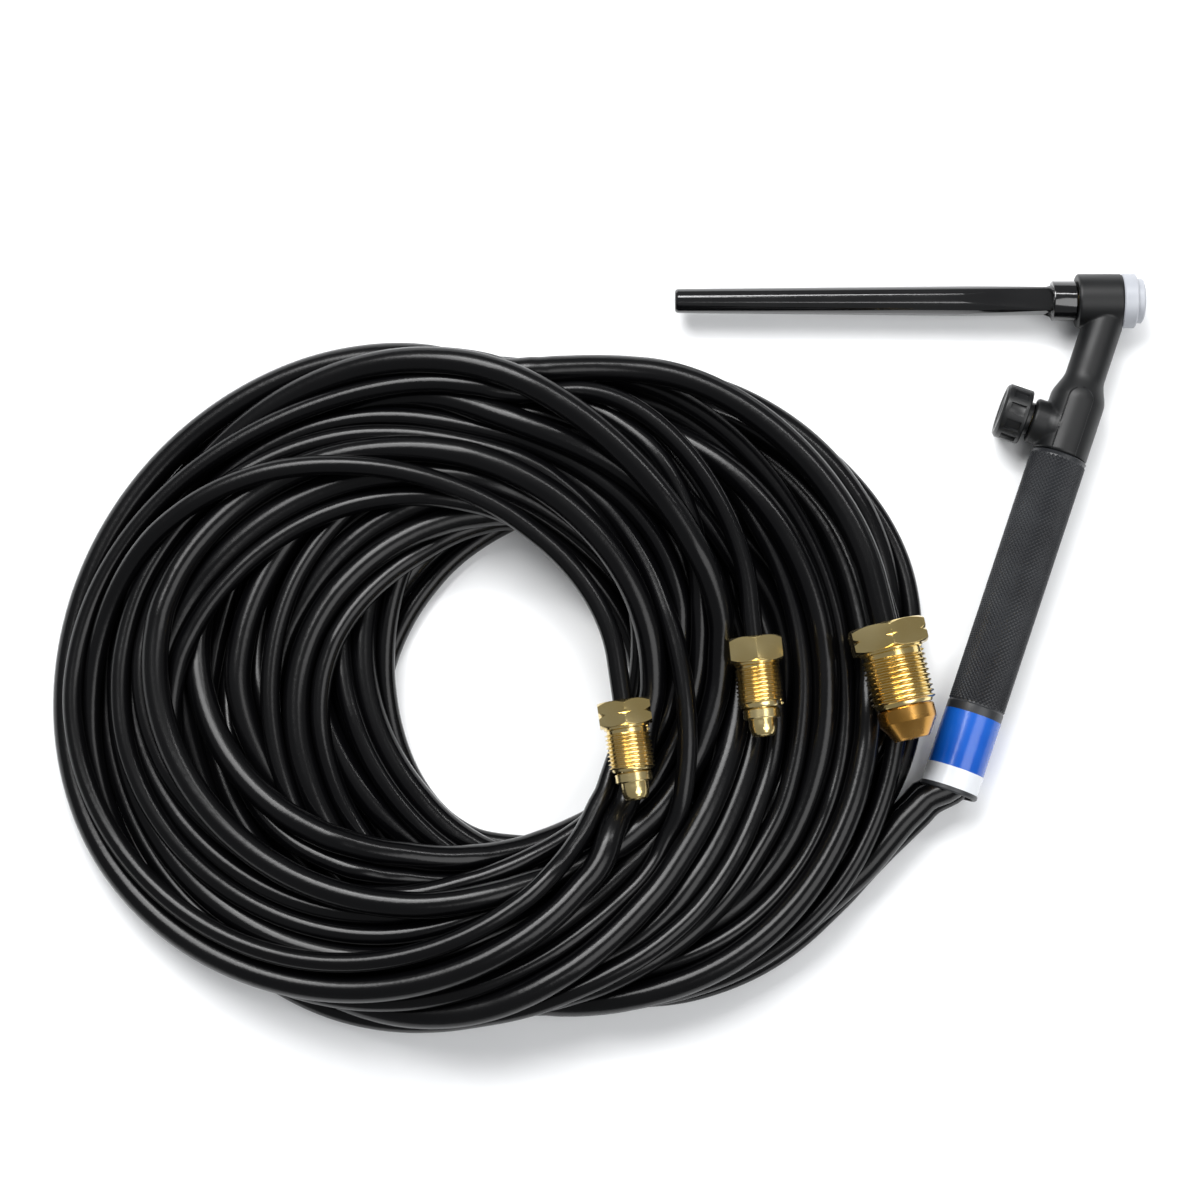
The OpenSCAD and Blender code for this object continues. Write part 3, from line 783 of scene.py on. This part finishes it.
def turned(name: str, outline: list[tuple[float, float]], sides: int = 96,
           hollow: bool = False) -> bpy.types.Object:
    """Turns an outline round Z: a circle is drawn, then extruded and scaled from point to point.

    Args:
        name: the object's name.
        outline: radius and height of each point, in millimetres, with no radius of 0.
        sides: how many sides the circle has.
        hollow: joins the last circle to the first one, where it is False both are filled.

    Returns:
        A closed object.
    """
    lay_down_tools()
    radius, height = outline[0]
    bpy.ops.mesh.primitive_circle_add(vertices=sides, radius=radius * MM, location=(0, 0, height * MM))
    piece = bpy.context.object
    piece.name = name
    bpy.ops.object.transform_apply(location=True)
    bpy.ops.object.mode_set(mode="EDIT")
    if not hollow:
        bpy.ops.mesh.edge_face_add()
        pick(piece, "EDGE", lambda e: True)
    for next_radius, next_height in outline[1:]:
        bpy.ops.mesh.extrude_edges_move(TRANSFORM_OT_translate={"value": (0, 0, (next_height - height) * MM)})
        grow = next_radius / radius
        if grow != 1:
            bpy.ops.transform.resize(value=(grow, grow, 1), center_override=(0, 0, next_height * MM))
        radius, height = next_radius, next_height
    if hollow:
        pick(piece, "EDGE", lambda e: len(e.link_faces) == 1)
        bpy.ops.mesh.bridge_edge_loops()
    else:
        bpy.ops.mesh.edge_face_add()
    bpy.ops.mesh.select_all(action="SELECT")
    bpy.ops.mesh.normals_make_consistent(inside=False)
    bpy.ops.object.mode_set(mode="OBJECT")
    return piece


def put(piece: bpy.types.Object, place: Matrix) -> None:
    """Puts a piece at its place and applies it to the mesh.

    Args:
        piece: the object, modelled about its own origin.
        place: its frame, in millimetres.
    """
    take(piece)
    piece.matrix_world = Matrix.Translation(place.to_translation() * MM) @ place.to_3x3().to_4x4()
    bpy.ops.object.transform_apply(location=True, rotation=True, scale=True)


def apply_modifier(piece: bpy.types.Object, kind: str, **settings) -> None:
    """Adds one modifier and applies it.

    Args:
        piece: the object.
        kind: the modifier's type name.
        **settings: attributes of the modifier.
    """
    take(piece)
    modifier = piece.modifiers.new(kind.lower(), kind)
    for name, value in settings.items():
        setattr(modifier, name, value)
    bpy.ops.object.modifier_apply(modifier=modifier.name)


def cut(piece: bpy.types.Object, tool: bpy.types.Object, how: str = "DIFFERENCE") -> None:
    """Cuts a piece with a tool, and throws the tool away.

    Args:
        piece: the object that is cut.
        tool: the object that cuts it.
        how: "DIFFERENCE", "INTERSECT" or "UNION".
    """
    apply_modifier(piece, "BOOLEAN", operation=how, object=tool, solver="EXACT")
    bpy.data.objects.remove(tool)


def copy_of(piece: bpy.types.Object, place: Matrix) -> bpy.types.Object:
    """Copies a piece with its own mesh.

    Args:
        piece: the object.
        place: how the copy is moved or turned, in millimetres.

    Returns:
        The copy.
    """
    twin = piece.copy()
    twin.data = piece.data.copy()
    bpy.context.scene.collection.objects.link(twin)
    put(twin, place)
    return twin


def join(pieces: list[bpy.types.Object]) -> bpy.types.Object:
    """Joins objects into the first of them.

    Args:
        pieces: the objects.

    Returns:
        The first object.
    """
    take(pieces[0])
    for piece in pieces[1:]:
        piece.select_set(True)
    bpy.ops.object.join()
    return pieces[0]


def hand_over(piece: bpy.types.Object, finish: Finish, slot: str, body: str, *nodes: str,
              smooth_deg: float = 35.0) -> None:
    """Shades, dresses and mounts a finished piece.

    Args:
        piece: the object.
        finish: its surface.
        slot: the name of a material slot; not used.
        body: the CAD body that it rides on.
        *nodes: the CAD nodes that it stands for.
        smooth_deg: edges sharper than this stay sharp.
    """
    take(piece)
    bpy.ops.object.shade_smooth_by_angle(angle=math.radians(smooth_deg))
    piece.data.materials.clear()
    piece.data.materials.append(finish.material())
    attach(piece, body)
    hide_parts(*nodes)
    LOG.info("%s: %d faces", piece.name, len(piece.data.polygons))


# ---------------------------------------------------------------- torch


@dataclass
class HeadMoulding:
    """The over-moulded head, neck, body and valve boss, with a blank panel on the body. Millimetres."""

    head_radius: float = 9.6
    head_front: float = 3.6
    head_back: float = -12.4
    core_radius: float = 6.6
    neck_radius: float = 7.1
    body_radius: float = 9.8
    body_end: float = 59.4
    valve_at: float = 50.1
    boss_radius: float = 8.1
    boss_end: float = 13.6
    boss_bore: float = 5.6
    panel_half_width: float = 4.3
    panel_rise: float = 0.3
    voxel: float = 0.34

    def neck_and_body(self) -> bpy.types.Object:
        """Turns the neck, its flare and the body."""
        flare = [(self.neck_radius + (self.body_radius - self.neck_radius) * (1 - math.cos(math.pi * s)) / 2,
                  29 + 10 * s) for s in (i / 10 for i in range(11))]
        body = turned("body", [(5.0, -4.0), (self.neck_radius, -2.0), *flare,
                               (self.body_radius, self.body_end - 0.5), (self.body_radius - 0.5, self.body_end)])
        put(body, grip_frame())
        return body

    def boss(self) -> bpy.types.Object:
        """Turns the valve's boss, with a wide foot that blends into the body."""
        outline = [(self.boss_radius + 1.0, 2.0), (self.boss_radius + 1.0, 5.0), (self.boss_radius + 0.35, 6.4),
                   (self.boss_radius, 8.0), (self.boss_radius, self.boss_end - 0.7),
                   (self.boss_radius - 0.7, self.boss_end)]
        boss = turned("boss", outline)
        put(boss, valve_frame(self.valve_at))
        return boss

    def raise_panel(self, piece: bpy.types.Object) -> None:
        """Lifts the blank panel with round ends from the body's upper side.

        Args:
            piece: the moulding.
        """
        to_grip = (Matrix.Scale(MM, 4) @ grip_frame() @ Matrix.Scale(1 / MM, 4)).inverted()
        low, high = 35.0, self.body_end + 6
        take(piece)
        bpy.ops.object.mode_set(mode="EDIT")

        def on_panel(vertex: bmesh.types.BMVert) -> bool:
            """Tells whether a vertex is within the panel's outline."""
            p = (to_grip @ vertex.co) / MM
            along = min(max(p.z, low + self.panel_half_width), high)
            return p.y < -5 and math.hypot(p.z - along, p.x) < self.panel_half_width

        pick(piece, "VERT", on_panel)
        bpy.ops.transform.shrink_fatten(value=self.panel_rise * MM)
        bpy.ops.object.mode_set(mode="OBJECT")

    def build(self) -> None:
        """Joins the parts, blends them and bores them."""
        lip = 0.5
        head = turned("torch_head", [
            (self.head_radius - lip, self.head_back), (self.head_radius, self.head_back + lip),
            (self.head_radius, self.head_front - 0.4), (self.head_radius - 0.4, self.head_front)])
        put(head, head_frame())
        piece = join([head, self.neck_and_body(), self.boss()])
        apply_modifier(piece, "REMESH", mode="VOXEL", voxel_size=self.voxel * MM)
        apply_modifier(piece, "SMOOTH", factor=0.5, iterations=5)
        self.raise_panel(piece)
        front = turned("front", [(15, self.head_front), (15, self.head_front + 12)])
        rear = turned("rear", [(self.core_radius, self.head_back - 4), (self.core_radius, self.head_front + 4)])
        for tool in (front, rear):
            put(tool, head_frame())
            cut(piece, tool)
        well = turned("well", [(5.2, 1.5), (5.2, 10.5), (self.boss_bore, 10.5), (self.boss_bore, self.boss_end + 3)])
        put(well, valve_frame(self.valve_at))
        cut(piece, well)
        hand_over(piece, HEAD_RUBBER, "moulding", TORCH_BODY, "head_moulding", smooth_deg=40)


@dataclass
class BackCap:
    """The long back cap with its collar and four tapered flats. Millimetres."""

    front: float = -12.7
    back: float = -155.8
    collar_radius: float = 7.1
    collar_length: float = 8.5
    radius: float = 5.65
    end_radius: float = 4.35
    bore: float = 3.2
    seat_radius: float = 5.2
    flats: int = 4
    flat_length: float = 38.0
    flat_depth: float = 1.4
    flat_width: float = 7.6

    def flat_tool(self) -> bpy.types.Object:
        """Makes the block with a round end that cuts one flat.

        Returns:
            The tool, placed for the flat on the cap's +X side.
        """
        lay_down_tools()
        deep, wide, long = 5.0, self.flat_width, self.flat_length + 6
        bpy.ops.mesh.primitive_cube_add(size=MM)
        tool = bpy.context.object
        tool.scale = (deep, wide, long)
        tool.location = (deep / 2 * MM, 0, -long / 2 * MM)
        bpy.ops.object.transform_apply(location=True, scale=True)
        bpy.ops.object.mode_set(mode="EDIT")
        pick(tool, "EDGE", lambda e: (all(v.co.z > -MM for v in e.verts)
                                      and abs(e.verts[0].co.x - e.verts[1].co.x) > MM))
        bpy.ops.mesh.bevel(offset=0.47 * wide * MM, segments=10)
        bpy.ops.object.mode_set(mode="OBJECT")
        taper = (self.radius - self.end_radius) * self.flat_length / (self.front - self.back)
        tilt = math.atan2(self.flat_depth - taper, self.flat_length)
        floor = Matrix.Translation((self.radius - self.flat_depth, 0, self.front - self.collar_length + 0.1))
        put(tool, floor @ Matrix.Rotation(-tilt, 4, "Y"))
        return tool

    def build(self) -> None:
        """Turns the cap, bores it and cuts its flats."""
        shoulder = self.front - self.collar_length
        rim = [(self.collar_radius - 0.55 * (1 - math.cos(a)), shoulder + 0.55 * (1 - math.sin(a)))
               for a in (0.0, 0.5, 1.0, math.pi / 2)]
        piece = turned("back_cap_long", [
            (self.seat_radius, self.front - 7.5), (self.seat_radius, self.front),
            (self.collar_radius - 0.25, self.front),
            (self.collar_radius, self.front - 0.25), *rim, (self.radius + 0.35, shoulder - 0.1),
            (self.radius, shoulder - 0.7), (self.end_radius, self.back + 1.1),
            (self.end_radius - 0.3, self.back + 0.4), (self.end_radius - 0.9, self.back + 0.05),
            (self.end_radius - 1.6, self.back)])
        tool = self.flat_tool()
        for number in range(1, self.flats):
            cut(piece, copy_of(tool, Matrix.Rotation(2 * math.pi * number / self.flats, 4, "Z")))
        cut(piece, tool)
        bore = turned("bore", [(self.bore, self.back + 5), (self.bore, self.front)], 48)
        cut(piece, bore)
        apply_modifier(piece, "BEVEL", width=0.12 * MM, segments=2, limit_method="ANGLE", angle_limit=math.radians(28))
        put(piece, head_frame())
        hand_over(piece, CAP_PHENOLIC, "cap", "cap", "back_cap", smooth_deg=14)


@dataclass
class ValveKnob:
    """The gas valve's knob with a recess between each two ribs. Millimetres."""

    valve_at: float = 50.1
    stem_radius: float = 3.0
    hub_radius: float = 6.0
    hub_low: float = 13.9
    low: float = 15.6
    top: float = 25.0
    radius: float = 9.9
    recesses: int = 10
    recess_depth: float = 1.2

    def build(self) -> None:
        """Turns the knob and presses in its recesses."""
        sides = self.recesses * 6
        recess_low, recess_top = self.low + 1.4, self.top - 2.4
        piece = turned("valve_knob_ribbed", [
            (self.stem_radius, self.hub_low), (self.hub_radius, self.hub_low), (self.hub_radius, self.low),
            (self.radius - 0.4, self.low), (self.radius, self.low + 0.4), (self.radius, recess_low),
            (self.radius, recess_top), (self.radius, self.top - 1.0), (self.radius - 1.0, self.top),
            (self.radius - 2.4, self.top), (self.radius - 2.8, self.top - 0.4), (self.stem_radius + 1, self.top - 0.4),
            (self.stem_radius, self.top - 0.9)], sides, hollow=True)
        take(piece)
        bpy.ops.object.mode_set(mode="EDIT")
        for number in range(self.recesses):
            middle = 2 * math.pi * (number + 0.5) / self.recesses

            def in_recess(face: bmesh.types.BMFace) -> bool:
                """Tells whether a face lies in this recess."""
                at = face.calc_center_median()
                turn = (math.atan2(at.y, at.x) - middle + math.pi) % (2 * math.pi) - math.pi
                return (abs(turn) < 1.6 * 2 * math.pi / sides and math.hypot(at.x, at.y) > (self.radius - 0.3) * MM
                        and recess_low * MM < at.z < recess_top * MM)

            pick(piece, "FACE", in_recess)
            bpy.ops.mesh.inset(thickness=0.12 * MM)
            bpy.ops.mesh.extrude_region_shrink_fatten(
                TRANSFORM_OT_shrink_fatten={"value": -self.recess_depth * MM})
        bpy.ops.object.mode_set(mode="OBJECT")
        apply_modifier(piece, "BEVEL", width=0.1 * MM, segments=2, limit_method="ANGLE", angle_limit=math.radians(30))
        put(piece, valve_frame(self.valve_at))
        hand_over(piece, KNOB_NYLON, "knob", "valve", "valve_knob")


@dataclass
class Handle:
    """The handle's tube with a diamond knurl, a seat for the label and a rim. Millimetres."""

    start: float = 59.6
    end: float = 185.6
    bore: float = 9.0
    radius: float = 10.2
    label_start: float = 157.0
    rim_length: float = 1.8
    rim_radius: float = 10.4
    seat_radius: float = 10.05
    knurl_start: float = 60.8
    knurl_rows: int = 116
    knurl_sides: int = 80
    knurl_step: float = 0.8
    knurl_depth: float = 0.42

    def build(self) -> None:
        """Turns the tube and sinks every second point of its grid, which leaves the knurl's diamonds standing."""
        rows = [(self.radius, self.knurl_start + self.knurl_step * i) for i in range(self.knurl_rows + 1)]
        rim = self.end - self.rim_length
        piece = turned("knurled_handle", [
            (self.bore, self.start), (self.radius - 0.5, self.start), (self.radius - 0.1, self.start + 0.4), *rows,
            (self.radius - 0.1, rows[-1][1] + 0.5), (self.radius - 0.1, self.label_start - 0.3),
            (self.seat_radius, self.label_start), (self.seat_radius, rim), (self.rim_radius - 0.2, rim),
            (self.rim_radius, rim + 0.2), (self.rim_radius, self.end - 0.5), (self.rim_radius - 0.5, self.end),
            (self.bore + 0.2, self.end), (self.bore, self.end - 0.2)], self.knurl_sides, hollow=True)
        take(piece)
        bpy.ops.object.mode_set(mode="EDIT")
        first, last = self.knurl_start * MM, rows[-1][1] * MM

        def is_low(vertex: bmesh.types.BMVert) -> bool:
            """Tells whether a grid point is at the bottom of the knurl."""
            at = vertex.co
            if math.hypot(at.x, at.y) < (self.radius - 0.05) * MM or not first - MM / 9 < at.z < last + MM / 9:
                return False
            row = round((at.z / MM - self.knurl_start) / self.knurl_step)
            column = round(math.atan2(at.y, at.x) / (2 * math.pi) * self.knurl_sides)
            return row in (0, self.knurl_rows) or (row + column) % 2 == 0

        pick(piece, "VERT", is_low)
        bpy.ops.transform.shrink_fatten(value=-self.knurl_depth * MM)
        pick(piece, "FACE", lambda f: first < f.calc_center_median().z < last
             and f.calc_center_median().xy.length > (self.bore + 0.3) * MM)
        bpy.ops.mesh.quads_convert_to_tris(quad_method="SHORTEST_DIAGONAL")
        bpy.ops.object.mode_set(mode="OBJECT")
        put(piece, grip_frame())
        hand_over(piece, HANDLE_NYLON, "handle", TORCH_BODY, "handle", smooth_deg=12)


# ---------------------------------------------------------------- end fittings


class Hand(Enum):
    """Which way a fitting's thread runs."""

    LEFT = -1
    RIGHT = 1


@dataclass
class SwivelNut:
    """One swivel nut: a chamfered hexagon, a relief and a real helical thread. Millimetres."""

    route: HoseRoute
    body: str
    hand: Hand
    flats: float
    hexagon: float
    thread_radius: float
    thread_start: float
    thread_end: float
    bore: float
    socket: float
    pitch: float

    def place(self) -> Matrix:
        """Frame at the hexagon's back, with +Z towards the nose."""
        x, y, z, turn = self.route.fitting
        return (Matrix.Translation((x, y, z)) @ Matrix.Rotation(math.radians(turn), 4, "Z")
                @ Matrix.Rotation(math.radians(90), 4, "X"))

    def hexagon_piece(self) -> bpy.types.Object:
        """Cuts the hexagon from bar: both faces chamfered, and its corners grooved on a left-hand nut."""
        lay_down_tools()
        corner = self.flats / math.cos(math.radians(30)) / 2
        bpy.ops.mesh.primitive_cylinder_add(vertices=6, radius=corner * MM, depth=self.hexagon * MM,
                                            location=(0, 0, self.hexagon / 2 * MM))
        piece = bpy.context.object
        bpy.ops.object.transform_apply(location=True)
        chamfer = 1.25
        flat = self.flats / 2 - 0.15
        barrel = turned("barrel", [(flat, 0), (corner + 0.05, chamfer), (corner + 0.05, self.hexagon - chamfer),
                                   (flat, self.hexagon)])
        cut(piece, barrel, "INTERSECT")
        if self.hand is Hand.LEFT:
            middle, deep = self.hexagon / 2, 1.1
            groove = turned("groove", [(corner - deep, middle), (corner + 1, middle + deep + 1),
                                       (corner + 1, middle - deep - 1)], hollow=True)
            cut(piece, groove)
        apply_modifier(piece, "BEVEL", width=0.15 * MM, segments=2, limit_method="ANGLE", angle_limit=math.radians(25))
        return piece

    def thread_ridge(self) -> bpy.types.Object:
        """Winds the thread's ridge: a four-sided section is drawn beside the axis and screwed round it."""
        lay_down_tools()
        depth = 0.6 * self.pitch
        low = self.thread_start + 0.75 * self.pitch
        turns = int((self.thread_end - low - 0.3 * self.pitch) / self.pitch)
        middle = self.thread_radius - depth / 2
        bpy.ops.mesh.primitive_plane_add(size=MM, rotation=(math.radians(90), 0, 0))
        ridge = bpy.context.object
        ridge.scale = (depth + 0.1, 0.86 * self.pitch, 1)
        ridge.location = ((middle - 0.05) * MM, 0, low * MM)
        bpy.ops.object.transform_apply(location=True, rotation=True, scale=True)
        bpy.ops.object.mode_set(mode="EDIT")
        pick(ridge, "VERT", lambda v: v.co.x > middle * MM)
        bpy.ops.transform.resize(value=(1, 1, 0.16), center_override=(self.thread_radius * MM, 0, low * MM))
        bpy.ops.mesh.select_all(action="SELECT")
        bpy.ops.mesh.delete(type="ONLY_FACE")
        bpy.ops.object.mode_set(mode="OBJECT")
        apply_modifier(ridge, "SCREW", screw_offset=self.hand.value * self.pitch * MM, angle=math.radians(360),
                       iterations=turns, steps=64, render_steps=64, use_smooth_shade=True)
        bpy.ops.object.mode_set(mode="EDIT")
        pick(ridge, "EDGE", lambda e: len(e.link_faces) == 1)
        bpy.ops.mesh.edge_face_add()
        bpy.ops.mesh.select_all(action="SELECT")
        bpy.ops.mesh.remove_doubles(threshold=0.002 * MM)
        bpy.ops.mesh.normals_make_consistent(inside=False)
        bpy.ops.object.mode_set(mode="OBJECT")
        if self.hand is Hand.LEFT:
            put(ridge, Matrix.Translation((0, 0, turns * self.pitch)))
        return ridge

    def build(self) -> None:
        """Joins the hexagon, the threaded barrel and the ridge."""
        root = self.thread_radius - 0.6 * self.pitch
        barrel = turned("barrel", [
            (self.bore, self.hexagon - 2), (root, self.hexagon - 2), (root, self.thread_end - 0.2),
            (root - 0.4, self.thread_end + 0.5), (self.bore, self.thread_end + 0.5)], hollow=True)
        collar = turned("collar", [
            (self.bore, self.hexagon - 1), (self.thread_radius - 0.1, self.hexagon - 1),
            (self.thread_radius - 0.1, self.thread_start - 0.1), (root, self.thread_start + 0.3),
            (self.bore, self.thread_start + 0.3)], hollow=True)
        hexagon = self.hexagon_piece()
        for radius, low, high in ((self.bore, -2, self.hexagon + 2), (self.socket, -2, 7)):
            cut(hexagon, turned("drill", [(radius, low), (radius, high)], 64))
        piece = join([hexagon, collar, barrel, self.thread_ridge()])
        piece.name = f"{self.route.kind.value}_swivel_nut"
        put(piece, self.place())
        hand_over(piece, TURNED_BRASS, "brass", self.body, f"{self.route.kind.value}_nut", smooth_deg=30)


def end_fittings() -> list[SwivelNut]:
    """The three swivel nuts.

    Returns:
        The power, water and gas nuts.
    """
    power, water, gas = ROUTES
    return [
        SwivelNut(power, "power_swivel", Hand.LEFT, 25.4, 9.0, 11.1, 9.8, 28.5, 6.1, 6.6, 1.81),
        SwivelNut(water, "water_swivel", Hand.LEFT, 18.0, 8.8, 7.94, 9.6, 23.8, 4.2, 4.8, 1.41),
        SwivelNut(gas, "gas_swivel", Hand.RIGHT, 18.0, 8.8, 7.94, 9.6, 23.8, 4.2, 4.8, 1.41),
    ]


# ---------------------------------------------------------------- stage


@dataclass
class Studio:
    """Camera, floor and lights."""

    aim: tuple[float, float, float] = (-0.1104, -0.0218, 0.0)
    distance: float = 1.0
    tilt_deg: float = 6.0
    field_width: float = 0.4286
    floor_size: float = 6.0

    def camera(self) -> None:
        """Sets the camera almost overhead, tilted a little towards the near side."""
        data = bpy.data.cameras.new("camera")
        data.sensor_width = 36.0
        data.lens = data.sensor_width * self.distance / self.field_width
        data.clip_start, data.clip_end = 0.01, 20.0
        tilt = math.radians(self.tilt_deg)
        holder = bpy.data.objects.new("camera", data)
        away = Vector((0, -math.sin(tilt), math.cos(tilt)))
        holder.location = Vector(self.aim) + self.distance * away
        holder.rotation_euler = (tilt, 0, 0)
        bpy.context.scene.collection.objects.link(holder)
        bpy.context.scene.camera = holder

    def floor(self) -> None:
        """Lays the plain pale floor."""
        bpy.ops.object.select_all(action="DESELECT")
        bpy.ops.mesh.primitive_plane_add(size=self.floor_size, location=(*self.aim[:2], -0.0002))
        floor = bpy.context.object
        floor.name = "floor"
        # Matt white studio board: no gloss, so it holds soft shadows only
        board = Finish("matt_white_board", "#f6f7f8", "#f8f9fa", 0.85, 0.02, grain_mm=3.0, grain_depth=0.0,
                       specular=0.1)
        floor.data.materials.append(board.material())

    def light(self, name: str, place: tuple[float, float, float], size: tuple[float, float], power: float) -> None:
        """Hangs one soft light that faces the aim point.

        Args:
            name: the light's name.
            place: where it hangs.
            size: its width and height.
            power: its power in watts.
        """
        data = bpy.data.lights.new(name, "AREA")
        data.shape = "RECTANGLE"
        data.size, data.size_y = size
        data.energy = power
        lamp = bpy.data.objects.new(name, data)
        lamp.location = place
        lamp.rotation_euler = (Vector(self.aim) - Vector(place)).to_track_quat("-Z", "Y").to_euler()
        bpy.context.scene.collection.objects.link(lamp)

    def build(self) -> None:
        """Makes the camera, the floor, the lights and the plain surroundings."""
        self.camera()
        self.floor()
        self.light("key", (-0.6, 0.9, 1.5), (1.1, 0.9), 34.0)
        self.light("strip", (0.0, 0.8, 1.1), (1.8, 0.1), 9.0)
        self.light("fill", (0.7, -0.5, 1.6), (1.2, 1.2), 16.0)
        world = bpy.data.worlds.new("surroundings")
        world.use_nodes = True
        world.node_tree.nodes["Background"].inputs["Color"].default_value = linear("#f2f4f7")
        world.node_tree.nodes["Background"].inputs["Strength"].default_value = 0.3
        bpy.context.scene.world = world
        bpy.context.scene.view_settings.view_transform = "Standard"
        LOG.info("studio is ready")


def main() -> None:
    """Builds the studio and then each sub-assembly."""
    logging.basicConfig(level=logging.INFO, format="%(name)s: %(message)s")
    Studio().build()
    HoseSet(HosePile(ROUTES)).build()
    dress_nodes()
    for maker in (HeadMoulding(), BackCap(), ValveKnob(), Handle(), *end_fittings()):
        maker.build()


if __name__ == "__main__":
    main()
